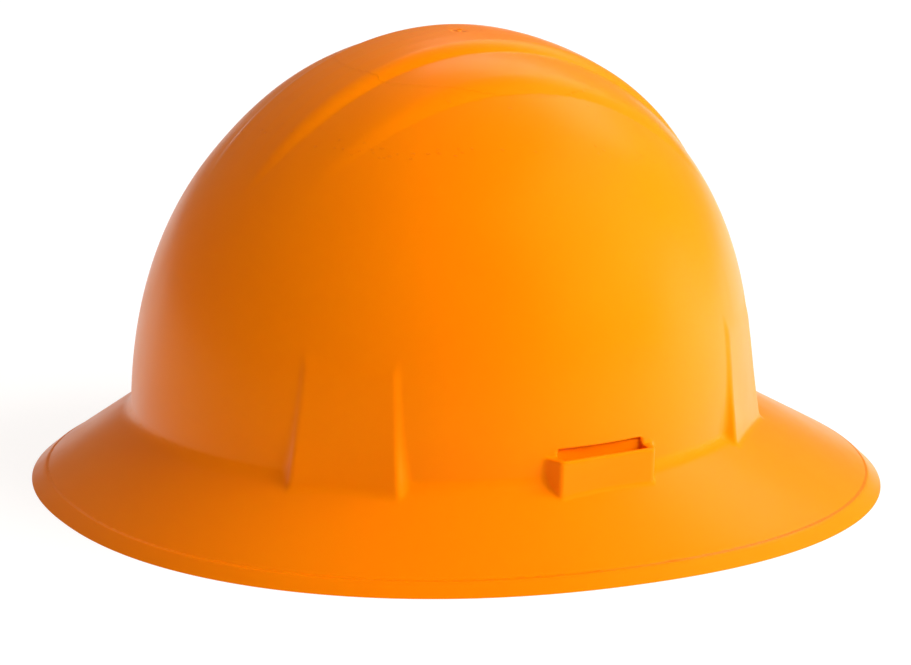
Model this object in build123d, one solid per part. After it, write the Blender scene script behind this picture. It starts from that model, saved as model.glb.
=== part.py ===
from build123d import *
import math
import os

# A full brim hard hat, in millimetres, standing on the lower edge of its brim.
# +Z is up, the front of the hat faces -Y, and the wearer's left is +X.
# The origin is the middle of the brim in plan, on the surface that the brim rests on.

# Brim
brim_length = 318.0
brim_width = 273.8
brim_power_share = 2.16
brim_drop_share = 1.2
wall = 2.4
lip_inset = 5.3
lip_height = 4.8
lip_step = 0.5

# Dome: elliptic sections whose size and height follow two powers
brim_end_reach = 42.0
brim_side_reach = 35.6
dome_base_height = 28.3
dome_top_height = 166.1
dome_forward = 8.2
dome_top_back = 1.2
dome_plan_power_share = 1.918
dome_rise_power_share = 2.322
dome_angle_shares = (0.0, 0.06, 0.13, 0.22, 0.33, 0.44, 0.55, 0.66, 0.75, 0.83, 0.89, 0.93, 0.965)
foot_fillet = 4.0

# Crown ribs: three terraces turned about a cross axis inside the dome
rib_proud = 2.1
rib_axis_forward = 7.0
rib_radius_loss = 8.5
rib_reach_degrees = 80.0
rib_top_half_width = 13.5
rib_top_crown = 0.7
rib_top_middle_share = 0.25
rib_crease_half_width = 20.5
rib_crease_drop = 4.4
rib_side_degrees = 10.0
rib_foot_half_width = 43.0
rib_foot_drop = 13.9
rib_tail_half_width = 45.0
rib_tail_drop = 18.0
rib_root_drop = 30.0
gate_mark_diameter = 5.0
gate_mark_depth = 0.4
gate_pip_diameter = 1.6
gate_pip_height = 0.3

# Key bosses: four wedges on the dome's foot, one over each suspension key's pocket
front_boss_degrees = -37.5
rear_boss_degrees = 46.0
boss_width = 38.4
boss_top_width = 31.4
boss_flank_degrees = 31.0
boss_proud = 2.2
boss_tilt_degrees = 8.5
boss_shoulder_share = 0.2881
boss_top_share = 0.34615
boss_top_inset = 9.0

# Key pockets behind the bosses
pocket_width = 32.0
pocket_depth = 3.0
pocket_set_in = 5.3
pocket_top_height = 48.0
pocket_mouth_height = 27.0
pocket_web = 2.2
pocket_web_inset = 0.25

# Accessory slots on both sides
slot_degrees = 4.3
slot_box_length = 39.4
slot_box_foot_length = 48.0
slot_box_proud = 4.6
slot_box_top = 37.2
slot_length = 35.4
slot_gap = 5.4
slot_depth = 11.0
slot_wall = 1.9
slot_web_overlap = 0.2
slot_lead_in = 2.4

# Suspension keys
key_clearance = 0.4
key_thickness = 2.2
key_width = 29.0
key_plate_set_in = 12.92
key_plate_thickness = 2.5
key_foot_height = 23.8
key_foot_thickness = 2.6
key_top_share = 0.33164
key_blade_top = 45.0
key_window_depth = 4.8
key_window_height = 4.0
key_window_width = 22.0

# Crown straps
strap_width = 20.0
strap_thickness = 1.2
strap_crown_drop = 35.1
strap_layer_gap = 2.0
strap_bar_gap = 0.35
strap_lap_rise = 9.0
strap_rise_power_share = 0.8

# Headband: two side arcs about the swing axis, two straights and a brow arc
swing_y = 2.0
swing_height_share = 0.11393
band_side_room = 21.8
band_rear_room = 29.3
band_front_room = 19.37
band_thickness = 1.6
band_low_share = 0.04136
band_stud_drop = 6.7
band_edge_rise = 5.5
band_side_degrees = 22.0
band_end_degrees = 9.0
arm_end_degrees = 64.0
arm_height = 11.0
band_lug_diameter = 9.0
band_neck_diameter = 4.2
band_head_diameter = 7.6
band_head_thickness = 1.8
band_lug_gap = 0.4
band_travel_up = 3.0
band_travel_down = 3.0

# Brow pad
pad_thickness = 5.0
pad_gap = 0.3
pad_overlap = 1.5
pad_reach_degrees = 66.0
pad_round = 2.0

# Nape assembly, drawn level and then tilted about the swing axis
nape_tilt_degrees = 13.0
rack_gap = 2.3
rack_thickness = 1.8
rack_layer_gap = 0.4
rack_height = 16.0
rack_front_degrees = 26.5
rack_rear_degrees = 97.0
rack_window_height = 9.7
gear_degrees = 90.0
rack_window_start_degrees = 62.0
rack_window_end_degrees = 94.3
rack_tooth_height = 1.3
rack_tooth_share = 0.36
rack_flank_share = 0.333
stud_run_degrees = 22.0
swing_stud_diameter = 4.6
swing_stud_gap = 0.3
swing_head_diameter = 10.0
swing_head_thickness = 1.6

# Ratchet
housing_half_degrees = 22.0
housing_back_thickness = 2.4
housing_half_height = 17.0
housing_channel_gap = 0.35
cover_thickness = 2.4
cover_floor_share = 0.333
gear_teeth = 10
gear_pitch_radius = 4.0
gear_tip_radius = 4.6
gear_root_radius = 3.25
gear_tooth_share = 0.34
gear_tip_share = 0.25
gear_foot_share = 0.8
gear_hub_radius = 3.2
knob_diameter = 34.0
knob_depth = 9.0
knob_gap = 0.4
knob_collar_radius = 6.45
knob_running_gap = 0.08
knob_wall = 2.2
knob_grips = 12
knob_grip_radius = 2.6
knob_grip_depth = 1.1
knob_teeth = 24
knob_tooth_depth = 0.9
click_thickness = 1.0
click_gap = 0.3
click_ring_radius = 9.6
click_ring_hole = 7.2
click_finger_width = 2.4
screw_head_radius = 3.4
screw_head_thickness = 1.4
screw_shank_radius = 1.5
screw_running_gap = 0.1
knob_screw_gap = 0.02
cover_screw_degrees = 16.5
cover_screw_height = 13.0
cover_screw_radius = 1.2
cover_screw_head_radius = 2.4
cover_screw_head_thickness = 1.4

# Nape pad
nape_pad_thickness = 5.0
nape_pad_half_degrees = 25.0
nape_pad_half_height = 15.5

# Small values of the suspension and the ratchet
key_corner = 4.0
stud_slot_width = 4.6
strap_lap = 5.0
strap_sections = 12
strap_probe_share = 0.01
arm_overlap_degrees = 3.0
stud_hole_gap = 0.1
swing_collar_diameter = 8.0
rack_corner = 0.8
knob_hub_radius = 4.9
knob_round = 1.6
knob_notch_reach = 3.0
click_post_radius = 0.9
click_post_place = 8.4

# One overrun for all cuts, a probe for finding edges, and the number of points on the brim's edge
overrun = 10.0
edge_probe = 0.2
brim_points = 24

# The dome stands inside the brim by the brim's reach
dome_half_length = brim_length / 2 - brim_end_reach
dome_half_width = brim_width / 2 - brim_side_reach


def unit(degrees):
    """The plan direction at an angle from +X."""
    return math.cos(math.radians(degrees)), math.sin(math.radians(degrees))


def foot_reach(degrees):
    """The distance to the dome's foot along a face's normal, at an angle from +X."""
    c, s = unit(degrees)
    return math.hypot(dome_half_width * c, dome_half_length * s)


def dome_level(share):
    """The height at a share of the dome's rise above its foot."""
    return dome_base_height + share * (dome_top_height - dome_base_height)


# Values that follow from those above
dome_centre_y = -dome_forward
rib_radius = dome_half_length - rib_radius_loss
rib_axis_height = dome_top_height + rib_proud - rib_radius
boss_shoulder_height = dome_level(boss_shoulder_share)
boss_top_height = dome_level(boss_top_share)
key_plate_inner = min(foot_reach(front_boss_degrees), foot_reach(rear_boss_degrees)) - key_plate_set_in
key_top_height = dome_level(key_top_share)
key_window_high = key_top_height - key_window_depth
key_window_low = key_window_high - key_window_height
key_blade_gap = (pocket_depth - key_thickness) / 2
strap_crown_height = dome_top_height - strap_crown_drop
strap_lap_height = key_top_height + strap_lap_rise
band_radius = min(dome_half_width - band_side_room, dome_half_length - dome_forward - band_rear_room)
band_stud_height = key_window_low - band_stud_drop
band_low = dome_level(band_low_share)
band_high = band_stud_height + band_edge_rise
arm_low = band_high - arm_height
band_front = dome_half_length + dome_forward - band_front_room
side_c, side_s = unit(band_side_degrees)
band_straight = (band_front + swing_y - band_radius) * side_c / (1 - side_s)
band_brow_loss = band_straight * side_s / side_c
swing_height = dome_level(swing_height_share)
brow_centre_y = swing_y - band_straight / side_c
rack_inner_radius = band_radius + rack_gap
rack_mid_gap = rack_inner_radius + rack_thickness + rack_layer_gap
rack_outer_radius = rack_mid_gap + rack_thickness
housing_back_outer = rack_inner_radius - rack_layer_gap
housing_back_inner = housing_back_outer - housing_back_thickness
channel_outer = rack_outer_radius + housing_channel_gap
cover_outer = channel_outer + cover_thickness
knob_face = cover_outer + knob_gap + knob_depth
parts = {}


def dome_loft(inset):
    """The dome as a solid through elliptic sections, drawn in by the inset."""
    faces = []
    for turn in dome_angle_shares:
        angle = turn * math.pi / 2
        share = math.cos(angle) ** (2 / dome_plan_power_share)
        rise = math.sin(angle) ** (2 / dome_rise_power_share)
        height = dome_base_height + (dome_top_height - inset - dome_base_height) * rise
        y = dome_centre_y + dome_top_back * rise ** 2
        section = Ellipse((dome_half_width - inset) * share, (dome_half_length - inset) * share)
        faces.append(Pos(0, y, height) * section)
    return loft(faces)


def brim_loop(inset, height):
    """A closed plan curve of the brim, drawn in by the inset, at a height."""
    points = []
    for k in range(brim_points):
        c, s = unit(360 * k / brim_points)
        reach = (abs(c) ** brim_power_share + abs(s) ** brim_power_share) ** (-1 / brim_power_share)
        points.append((reach * c * (brim_width / 2 - inset), reach * s * (brim_length / 2 - inset), height))
    return Wire([Edge.make_spline([Vector(*p) for p in points], periodic=True)])


def dome_foot_loop(height):
    """The dome's foot ellipse at a height."""
    return Pos(0, dome_centre_y, height) * Ellipse(dome_half_width, dome_half_length)


def brim_cone(drop):
    """The brim filled to its middle, lowered by a drop."""
    edge = Face(brim_loop(0, -drop))
    lip = Face(brim_loop(lip_inset, lip_height - drop))
    ledge = Face(brim_loop(lip_inset + lip_step, lip_height - drop))
    foot = dome_foot_loop(dome_base_height - drop)
    lip_band = loft([edge, lip], ruled=True)
    slope = loft([ledge, foot], ruled=True)
    return lip_band + slope


def rib_section(inset):
    """Half the terraces' section by its points, mirrored to the whole; heights are radii."""
    def at(x, drop):
        return (x, rib_axis_height + rib_radius - inset - drop)

    narrow = inset / 2
    crest = at(rib_top_half_width - narrow, rib_top_crown)
    crease = at(rib_crease_half_width - narrow, rib_crease_drop)
    foot = at(rib_foot_half_width - narrow, rib_foot_drop)
    tail = at(rib_tail_half_width - narrow, rib_tail_drop)
    root = at(rib_tail_half_width - narrow, rib_root_drop - inset)
    half_way = at((rib_top_half_width - narrow) / 2, rib_top_crown * rib_top_middle_share)
    top = ThreePointArc(at(0, 0), half_way, crest)
    flank = TangentArc([top @ 1, crease], tangent=top % 1)
    c, s = unit(rib_side_degrees)
    side = TangentArc([crease, foot], tangent=(c, -s))
    outline = top + flank + side + Line(foot, tail) + Line(tail, root)
    outline = outline + Line(root, at(0, rib_root_drop - inset)) + Line(at(0, rib_root_drop - inset), top @ 0)
    return Plane.XZ * make_face(outline)


def crown_ribs(inset):
    """The terraces turned through their reach about the cross axis."""
    y = -rib_axis_forward
    half = Pos(0, y, 0) * rib_section(inset)
    axis = Axis((0, y, rib_axis_height), (1, 0, 0))
    ahead = revolve(half.rotate(axis, -rib_reach_degrees), axis, 2 * rib_reach_degrees)
    return ahead + mirror(ahead, about=Plane.YZ)


def boss_place(degrees):
    """Where a boss sits: its frame has X out along the face's normal and Y along the face.

    Args:
        degrees: the direction of the face's normal, from +X.

    Returns:
        The location of the frame, and the distance from it to the dome's foot.
    """
    c, s = unit(degrees)
    reach = foot_reach(degrees)
    along = (dome_half_length ** 2 - dome_half_width ** 2) * s * c / reach
    x = -s * along
    y = dome_centre_y + c * along
    return Location((x, y, 0), (0, 0, degrees)), reach


def boss_section(reach, height, face):
    """A level section of a boss between its flanks, out to a distance of its face.

    Args:
        reach: the distance to the dome's foot.
        height: the section's height.
        face: how far out the section goes.

    Returns:
        The section, drawn in the boss's frame.
    """
    lean = math.tan(math.radians(boss_tilt_degrees))
    splay = math.tan(math.radians(boss_flank_degrees))
    narrowing = (boss_width - boss_top_width) / 2 / (boss_shoulder_height - dome_base_height)
    rise = height - dome_base_height
    plane = reach + boss_proud - lean * rise
    half = boss_width / 2 - narrowing * rise
    inner = reach - wall - overrun
    outer_half = half + (plane - face) * splay
    inner_half = half + (plane - inner) * splay
    outline = Polyline((inner, -inner_half), (face, -outer_half), (face, outer_half), (inner, inner_half),
                       close=True)
    return Pos(0, 0, height) * make_face(outline)


def boss_wedge(degrees):
    """The outer wedge of a boss: a leaning face that narrows upward between two splayed flanks."""
    place, reach = boss_place(degrees)
    lean = math.tan(math.radians(boss_tilt_degrees))
    foot = reach + boss_proud + lean * (dome_base_height - lip_height)
    shoulder = reach + boss_proud - lean * (boss_shoulder_height - dome_base_height)
    sections = [boss_section(reach, lip_height, foot),
                boss_section(reach, boss_shoulder_height, shoulder),
                boss_section(reach, boss_top_height, reach - boss_top_inset)]
    return place * loft(sections, ruled=True)


def pocket_block(degrees):
    """The web inside the dome that closes a key pocket."""
    place, reach = boss_place(degrees)
    outer = reach - wall - pocket_web_inset
    inner = reach - pocket_set_in - pocket_web
    width = pocket_width + 2 * pocket_web
    height = pocket_top_height + pocket_web - pocket_mouth_height
    block = Box(outer - inner, width, height, align=(Align.MIN, Align.CENTER, Align.MIN))
    return place * Pos(inner, 0, pocket_mouth_height) * block


def pocket_cut(degrees):
    """The pocket that takes a key's blade from beneath."""
    place, reach = boss_place(degrees)
    low = key_foot_height - key_clearance
    cut = Box(pocket_depth, pocket_width, pocket_top_height - low,
              align=(Align.MIN, Align.CENTER, Align.MIN))
    return place * Pos(reach - pocket_set_in, 0, low) * cut


def slot_box(side_sign):
    """The box of an accessory slot, with splayed ends, on one side."""
    place, reach = boss_place(slot_degrees)
    inner = reach - 2 * wall
    outer = reach + slot_box_proud
    plan = Polyline((inner, -slot_box_foot_length / 2), (outer, -slot_box_length / 2),
                    (outer, slot_box_length / 2), (inner, slot_box_foot_length / 2), close=True)
    body = extrude(Pos(0, 0, lip_height) * make_face(plan), slot_box_top - lip_height)
    body = place * body
    return body if side_sign > 0 else mirror(body, about=Plane.YZ)


def slot_cut(side_sign):
    """The accessory slot itself, open at the top, cut partly into the dome's wall."""
    place, reach = boss_place(slot_degrees)
    outer = reach + slot_box_proud - slot_wall
    cut = Box(slot_gap, slot_length, slot_depth + slot_lead_in, align=(Align.MAX, Align.CENTER, Align.MIN))
    cut = place * Pos(outer, 0, slot_box_top - slot_depth) * cut
    return cut if side_sign > 0 else mirror(cut, about=Plane.YZ)


def slot_back(side_sign):
    """The thickening inside the dome behind an accessory slot."""
    place, reach = boss_place(slot_degrees)
    outer = reach - wall + slot_web_overlap
    inner = reach + slot_box_proud - 2 * slot_wall - slot_gap
    width = slot_length + 2 * slot_wall
    height = slot_depth + slot_lead_in + 2 * slot_wall
    block = Box(outer - inner, width, height, align=(Align.MIN, Align.CENTER, Align.MAX))
    block = place * Pos(inner, 0, slot_box_top + slot_lead_in + slot_wall) * block
    return block if side_sign > 0 else mirror(block, about=Plane.YZ)


def gate_dimple():
    """The shallow round mark at the top of the crown."""
    top = rib_axis_height + rib_radius
    return Pos(0, -rib_axis_forward, top) * Cylinder(gate_mark_diameter / 2, 2 * gate_mark_depth)


def gate_pip():
    """The small pip in the middle of the crown's mark."""
    low = rib_axis_height + rib_radius - wall / 2
    height = wall / 2 - gate_mark_depth + gate_pip_height
    pip = Cylinder(gate_pip_diameter / 2, height, align=(Align.CENTER, Align.CENTER, Align.MIN))
    return Pos(0, -rib_axis_forward, low) * pip


def both_sides(solid):
    """A solid and its mirror image across the middle of the hat."""
    return [solid, mirror(solid, about=Plane.YZ)]


def shell():
    """The moulded shell: dome, brim, crown ribs, key bosses and accessory slots."""
    outer = dome_loft(0) + brim_cone(0)
    foot = outer.edges().filter_by(lambda e: abs(e.center().Z - dome_base_height) < edge_probe)
    outer = fillet(foot, foot_fillet)
    outer = outer + crown_ribs(0)
    for degrees in (front_boss_degrees, rear_boss_degrees):
        for wedge in both_sides(boss_wedge(degrees)):
            outer = outer + wedge
    for side_sign in (1, -1):
        outer = outer + slot_box(side_sign)
    inner = dome_loft(wall) + crown_ribs(wall)
    skirt = Pos(0, dome_centre_y, -overrun) * Ellipse(dome_half_width - wall, dome_half_length - wall)
    inner = inner + extrude(skirt, overrun + dome_base_height)
    inner = inner + brim_cone(wall * brim_drop_share)
    body = outer - inner
    for degrees in (front_boss_degrees, rear_boss_degrees):
        for block in both_sides(pocket_block(degrees)):
            body = body + block
        for cut in both_sides(pocket_cut(degrees)):
            body = body - cut
    for side_sign in (1, -1):
        body = body + slot_back(side_sign)
        body = body - slot_cut(side_sign)
    return body - gate_dimple() + gate_pip()


def key_reach(degrees):
    """The distance from a key's frame to the headband's middle surface, along the key's X."""
    place, reach = boss_place(degrees)
    c, s = unit(degrees)
    middle = band_radius - band_thickness / 2
    if degrees < 0:
        centre_y = brow_centre_y
        radius = middle - band_brow_loss
    else:
        centre_y = swing_y
        radius = middle
    x = place.position.X
    y = place.position.Y - centre_y
    along = x * c + y * s
    return math.sqrt(along ** 2 - x ** 2 - y ** 2 + radius ** 2) - along


def suspension_key(degrees):
    """A key: a blade for the shell's pocket, a foot under the web, and a plate for strap and stud."""
    place, reach = boss_place(degrees)
    blade_inner = reach - pocket_set_in + key_blade_gap
    blade_outer = blade_inner + key_thickness
    low_middle = (Align.MIN, Align.CENTER, Align.MIN)
    blade = Box(key_thickness, key_width, key_blade_top - key_foot_height, align=low_middle)
    foot = Box(blade_outer - key_plate_inner, key_width, key_foot_thickness, align=low_middle)
    plate = Box(key_plate_thickness, key_width, key_top_height - key_foot_height, align=low_middle)
    plate = Pos(key_plate_inner, 0, key_foot_height) * plate
    corners = plate.edges().filter_by(Axis.X).group_by(Axis.Z)[-1]
    plate = fillet(corners, key_corner)
    body = plate + Pos(blade_inner, 0, key_foot_height) * blade
    body = body + Pos(key_plate_inner, 0, key_foot_height) * foot
    window = Box(overrun, key_window_width, key_window_height, align=(Align.CENTER, Align.CENTER, Align.MIN))
    body = body - Pos(key_plate_inner, 0, key_window_low) * window
    slot_low = band_stud_height - band_travel_down - stud_slot_width / 2
    slot_high = band_stud_height + band_travel_up + stud_slot_width / 2
    slot = Box(overrun, stud_slot_width, slot_high - slot_low, align=(Align.CENTER, Align.CENTER, Align.MIN))
    body = body - Pos(key_plate_inner, 0, slot_low) * slot
    entry = Rot(0, 90, 0) * Cylinder(band_head_diameter / 2 + key_clearance, overrun)
    body = body - Pos(key_plate_inner, 0, slot_low - band_head_diameter / 2) * entry
    return place * body


def strap_end(degrees):
    """The end of a crown strap, wrapped round the bar over a key's window and lapped on itself."""
    place, reach = boss_place(degrees)
    t = strap_thickness
    x0 = key_plate_inner - strap_bar_gap - t
    x1 = x0 + t
    x2 = key_plate_inner + key_plate_thickness + strap_bar_gap
    x3 = x2 + t
    low = key_window_high - strap_bar_gap - t
    turn = key_top_height + t
    outer = Polyline((x0, low), (x3, low), (x3, turn), (x1 + t, strap_lap_height),
                     (x0, strap_lap_height), close=True)
    hole = Polyline((x1, low + t), (x2, low + t), (x2, turn - strap_bar_gap),
                    (x1, strap_lap_height - strap_lap), close=True)
    face = make_face(outer) - make_face(hole)
    return place * extrude(Plane.XZ * face, strap_width / 2, both=True)


def strap_arch(top_height):
    """The run of a crown strap from the front left key over the crown to the rear right key."""
    front, _ = boss_place(front_boss_degrees)
    rear, _ = boss_place(rear_boss_degrees)
    x = key_plate_inner - strap_bar_gap - strap_thickness / 2
    start = (front * Pos(x, 0, strap_lap_height)).position
    end = (rear * Pos(x, 0, strap_lap_height)).position
    end = Vector(-end.X, end.Y, end.Z)
    middle = (start + end) / 2
    half = (end - start) / 2
    start_width = front_boss_degrees + 90
    end_width = 90 - rear_boss_degrees

    def point(u):
        rise = (top_height - strap_lap_height) * max(0.0, 1 - u * u) ** strap_rise_power_share
        return middle + half * u + Vector(0, 0, rise)

    faces = []
    for k in range(strap_sections + 1):
        u = math.sin(math.radians(-90 + 180 * k / strap_sections))
        here = point(u)
        if k == 0:
            along = Vector(0, 0, 1)
        elif k == strap_sections:
            along = Vector(0, 0, -1)
        else:
            along = (point(u + strap_probe_share) - point(u - strap_probe_share)).normalized()
        c, s = unit(start_width + (end_width - start_width) * (u + 1) / 2)
        width = Vector(c, s, 0)
        across = (width - along * width.dot(along)).normalized()
        plane = Plane(origin=here, x_dir=across, z_dir=along)
        faces.append(plane * Rectangle(strap_width, strap_thickness))
    return loft(faces)


def crown_strap(top_height):
    """A whole crown strap, from the front left key to the rear right key."""
    rear_end = mirror(strap_end(rear_boss_degrees), about=Plane.YZ)
    return strap_arch(top_height) + strap_end(front_boss_degrees) + rear_end


def sector(inner, outer, start, end, low, high):
    """Part of a ring about the Z axis, between two radii, two angles and two heights."""
    size = end - start
    outside = CenterArc((0, 0), outer, start, size)
    inside = CenterArc((0, 0), inner, start, size)
    face = make_face([outside, Line(outside @ 1, inside @ 1), inside, Line(inside @ 0, outside @ 0)])
    return extrude(Pos(0, 0, low) * face, high - low)


def band_curve(radius):
    """Half of the headband's plan curve at a radius, from its rear end to the middle of the brow."""
    turn = band_side_degrees
    side = CenterArc((0, swing_y), radius, band_end_degrees, -band_end_degrees - turn)
    c, s = unit(turn)
    straight = Line(side @ 1, side @ 1 + Vector(-s, -c) * band_straight)
    brow = CenterArc((0, brow_centre_y), radius - band_brow_loss, -turn, turn - 90)
    return [side, straight, brow]


def headband():
    """The headband with its rear arms, stud holes and the four lugs that ride in the keys."""
    outer = band_curve(band_radius)
    inner = band_curve(band_radius - band_thickness)
    ends = [Line(outer[0] @ 0, inner[0] @ 0), Line(outer[2] @ 1, inner[2] @ 1)]
    half = extrude(Pos(0, 0, band_low) * make_face(outer + inner + ends), band_high - band_low)
    arm = sector(band_radius - band_thickness, band_radius, band_end_degrees - arm_overlap_degrees,
                 arm_end_degrees, arm_low, band_high)
    half = half + Pos(0, swing_y, 0) * arm
    hole = Rot(0, 90, 0) * Cylinder(swing_stud_diameter / 2 + stud_hole_gap, overrun)
    half = half - Pos(band_radius, swing_y, swing_height) * hole
    for degrees in (front_boss_degrees, rear_boss_degrees):
        place, _ = boss_place(degrees)
        start = key_reach(degrees)
        lug_end = key_plate_inner - band_lug_gap
        neck_end = key_plate_inner + key_plate_thickness + band_lug_gap
        along = (Align.CENTER, Align.CENTER, Align.MIN)
        lug = Cylinder(band_lug_diameter / 2, lug_end - start, align=along)
        neck = Cylinder(band_neck_diameter / 2, neck_end - start, align=along)
        head = Cylinder(band_head_diameter / 2, band_head_thickness, align=along)
        stud = lug + neck + Pos(0, 0, neck_end - start) * head
        half = half + place * Pos(start, 0, band_stud_height) * Rot(0, 90, 0) * stud
    return half + mirror(half, about=Plane.YZ)


def brow_pad():
    """The sweat pad inside the brow."""
    outer = band_radius - band_brow_loss - band_thickness - pad_gap
    pad = sector(outer - pad_thickness, outer, -90 - pad_reach_degrees, pad_reach_degrees - 90,
                 band_low - pad_overlap, band_high + pad_overlap)
    pad = Pos(0, brow_centre_y, 0) * pad
    return fillet(pad.edges(), pad_round)


def swing_stud(rack_inner):
    """A stud through the headband and a rack strap's slot, pointing along +X."""
    inner_face = band_radius - band_thickness - swing_stud_gap
    strap_outer = rack_inner + rack_thickness + swing_stud_gap
    along = (Align.CENTER, Align.CENTER, Align.MIN)
    back = Cylinder(swing_head_diameter / 2, swing_head_thickness, align=along)
    shank = Cylinder(swing_stud_diameter / 2, strap_outer - inner_face, align=along)
    collar_start = band_radius + stud_hole_gap
    collar = Cylinder(swing_collar_diameter / 2, rack_inner - swing_stud_gap - collar_start, align=along)
    head = Cylinder(swing_head_diameter / 2, swing_head_thickness, align=along)
    body = shank + Pos(0, 0, -swing_head_thickness) * back
    body = body + Pos(0, 0, collar_start - inner_face) * collar
    body = body + Pos(0, 0, strap_outer - inner_face) * head
    return Pos(inner_face, swing_y, swing_height) * Rot(0, 90, 0) * body


def nape_place():
    """Where the nape assembly's level drawing goes: tilted about the swing axis."""
    return Location((0, swing_y, swing_height), (-nape_tilt_degrees, 0, 0))


def rack_strap(inner_radius, edge_sign, side_sign):
    """A rack strap with a long slot for its stud and a toothed window for the gear.

    Args:
        inner_radius: the strap's inner radius.
        edge_sign: 1 for teeth on the window's upper edge, -1 for the lower edge.
        side_sign: 1 for the wearer's left, -1 for the right.

    Returns:
        The strap, drawn level about the origin.
    """
    outer = inner_radius + rack_thickness
    half = rack_height / 2
    strap = sector(inner_radius, outer, -rack_front_degrees, rack_rear_degrees, -half, half)
    strap = fillet(strap.edges().filter_by(lambda e: e.length < rack_thickness + edge_probe), rack_corner)
    slot_half = swing_stud_diameter / 2 + swing_stud_gap
    slot_end = math.degrees(slot_half / inner_radius)
    cut_in = inner_radius - wall
    cut_out = outer + wall
    strap = strap - sector(cut_in, cut_out, -stud_run_degrees - slot_end, slot_end, -slot_half, slot_half)
    edge = rack_window_height / 2
    strap = strap - sector(cut_in, cut_out, rack_window_start_degrees, rack_window_end_degrees, -edge, edge)
    pitch = 360 * gear_pitch_radius / gear_teeth / inner_radius
    tooth_half = math.pi * gear_pitch_radius / gear_teeth * rack_tooth_share
    count = int((rack_window_end_degrees - rack_window_start_degrees) / pitch)
    first = gear_degrees - pitch / 2 - pitch * int((gear_degrees - rack_window_start_degrees) / pitch - 1)
    base_half = tooth_half + rack_tooth_height * rack_flank_share
    profile = Polyline((-base_half, -tooth_half / 2), (base_half, -tooth_half / 2),
                       (tooth_half / 2, rack_tooth_height), (-tooth_half / 2, rack_tooth_height), close=True)
    tooth = extrude(make_face(profile), rack_thickness)
    tooth = Plane(origin=(inner_radius, 0, -edge), x_dir=(0, 1, 0), z_dir=(1, 0, 0)) * tooth
    if edge_sign > 0:
        tooth = mirror(tooth, about=Plane.XY)
    for k in range(count):
        angle = first + k * pitch
        if angle < rack_window_end_degrees - pitch / 2:
            strap = strap + Rot(0, 0, angle) * tooth
    return strap if side_sign > 0 else mirror(strap, about=Plane.YZ)


def rear_pin(radius, start, end):
    """A cylinder along Y through the middle of the nape, between two distances."""
    along = (Align.CENTER, Align.CENTER, Align.MIN)
    return Pos(0, start, 0) * Rot(-90, 0, 0) * Cylinder(radius, end - start, align=along)


def cover_screw_places():
    """The four places of the cover screws, each with its Z axis pointing out from the nape."""
    places = []
    for side in (-1, 1):
        for level in (-1, 1):
            turn = Rot(0, 0, side * cover_screw_degrees)
            places.append(turn * Pos(0, 0, level * cover_screw_height) * Rot(-90, 0, 0))
    return places


def screw_at(place, radius, start, end):
    """A cylinder on a cover screw's axis between two distances."""
    along = (Align.CENTER, Align.CENTER, Align.MIN)
    return place * Pos(0, 0, start) * Cylinder(radius, end - start, align=along)


def ratchet_housing():
    """The housing: a curved back plate with rims above and below the rack channel."""
    start = 90 - housing_half_degrees
    end = 90 + housing_half_degrees
    half = housing_half_height
    channel = rack_height / 2 + housing_channel_gap
    body = sector(housing_back_inner, housing_back_outer, start, end, -half, half)
    body = body + sector(housing_back_outer, channel_outer, start, end, channel, half)
    body = body + sector(housing_back_outer, channel_outer, start, end, -half, -channel)
    body = body - rear_pin(screw_shank_radius + screw_running_gap, 0, cover_outer)
    counterbore = housing_back_inner + screw_head_thickness + 2 * screw_running_gap
    body = body - rear_pin(screw_head_radius + 2 * screw_running_gap, 0, counterbore)
    for place in cover_screw_places():
        body = body - screw_at(place, cover_screw_radius + screw_running_gap, 0, cover_outer + overrun)
        seat = housing_back_inner + cover_screw_head_thickness
        body = body - screw_at(place, cover_screw_head_radius + screw_running_gap, 0, seat)
    return body


def ratchet_cover():
    """The cover over the racks, with the knob's hole, two posts for the click spring and screw bores."""
    start = 90 - housing_half_degrees
    end = 90 + housing_half_degrees
    body = sector(channel_outer, cover_outer, start, end, -housing_half_height, housing_half_height)
    body = body - rear_pin(knob_collar_radius + knob_running_gap, 0, cover_outer + overrun)
    post_start = channel_outer + cover_thickness / 2
    post_end = cover_outer + click_gap + click_thickness + click_gap
    for side in (-1, 1):
        post = Pos(0, 0, side * click_post_place) * rear_pin(click_post_radius, post_start, post_end)
        body = body + post
    bore_end = cover_outer - cover_thickness * cover_floor_share
    for place in cover_screw_places():
        body = body - screw_at(place, cover_screw_radius + screw_running_gap, 0, bore_end)
    return body


def cover_screws():
    """A list of the four screws that hold the cover, entered from the back plate."""
    screws = []
    for place in cover_screw_places():
        head_end = housing_back_inner + cover_screw_head_thickness
        head_start = head_end - cover_screw_head_thickness + screw_running_gap
        tip = cover_outer - cover_thickness / 2
        shank = screw_at(place, cover_screw_radius, head_end - screw_running_gap, tip)
        head = screw_at(place, cover_screw_head_radius, head_start, head_end)
        socket = screw_at(place, cover_screw_radius, 0, head_start + cover_screw_head_thickness / 2)
        screws.append(head + shank - socket)
    return screws


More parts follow.
